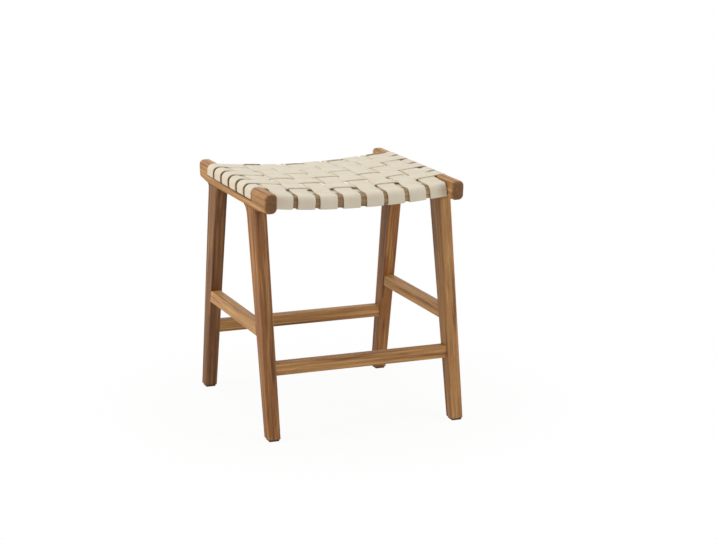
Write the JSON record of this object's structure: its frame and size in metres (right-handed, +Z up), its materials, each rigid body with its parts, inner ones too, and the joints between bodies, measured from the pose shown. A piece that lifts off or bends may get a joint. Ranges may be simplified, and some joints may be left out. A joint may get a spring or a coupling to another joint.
{
  "type": "stool",
  "caption": "Wooden stool with splayed legs, four stretchers and a saddle-curved seat woven from flat leather straps that wrap over rounded rails.",
  "frame": {"origin": "on the floor under the middle of the stool", "axes": "+X to the right across the width, +Y from the front to the back, +Z up"},
  "size_m": [0.516, 0.54, 0.6045],
  "materials": {
    "wood": "oiled satin",
    "strap_leather": "smooth, soft sheen",
    "pad": "matte"
  },
  "bodies": {
    "root": {"side_rail_left": "wood", "side_rail_right": "wood", "leg_front_left": "wood", "leg_front_right": "wood", "leg_back_left": "wood", "leg_back_right": "wood", "seat_rail_front": "wood", "seat_rail_back": "wood", "stretcher_front": "wood", "stretcher_back": "wood", "stretcher_left": "wood", "stretcher_right": "wood", "slot_key_left": "wood", "slot_key_right": "wood", "pad_front_left": "pad", "pad_front_right": "pad", "pad_back_left": "pad", "pad_back_right": "pad", "long_strap_1": "strap_leather", "long_strap_2": "strap_leather", "long_strap_3": "strap_leather", "long_strap_4": "strap_leather", "long_strap_5": "strap_leather", "long_strap_6": "strap_leather", "long_strap_7": "strap_leather", "long_strap_8": "strap_leather", "cross_strap_1": "strap_leather", "cross_strap_2": "strap_leather", "cross_strap_3": "strap_leather", "cross_strap_4": "strap_leather", "cross_strap_5": "strap_leather", "cross_strap_6": "strap_leather"}
  },
  "joints": []
}
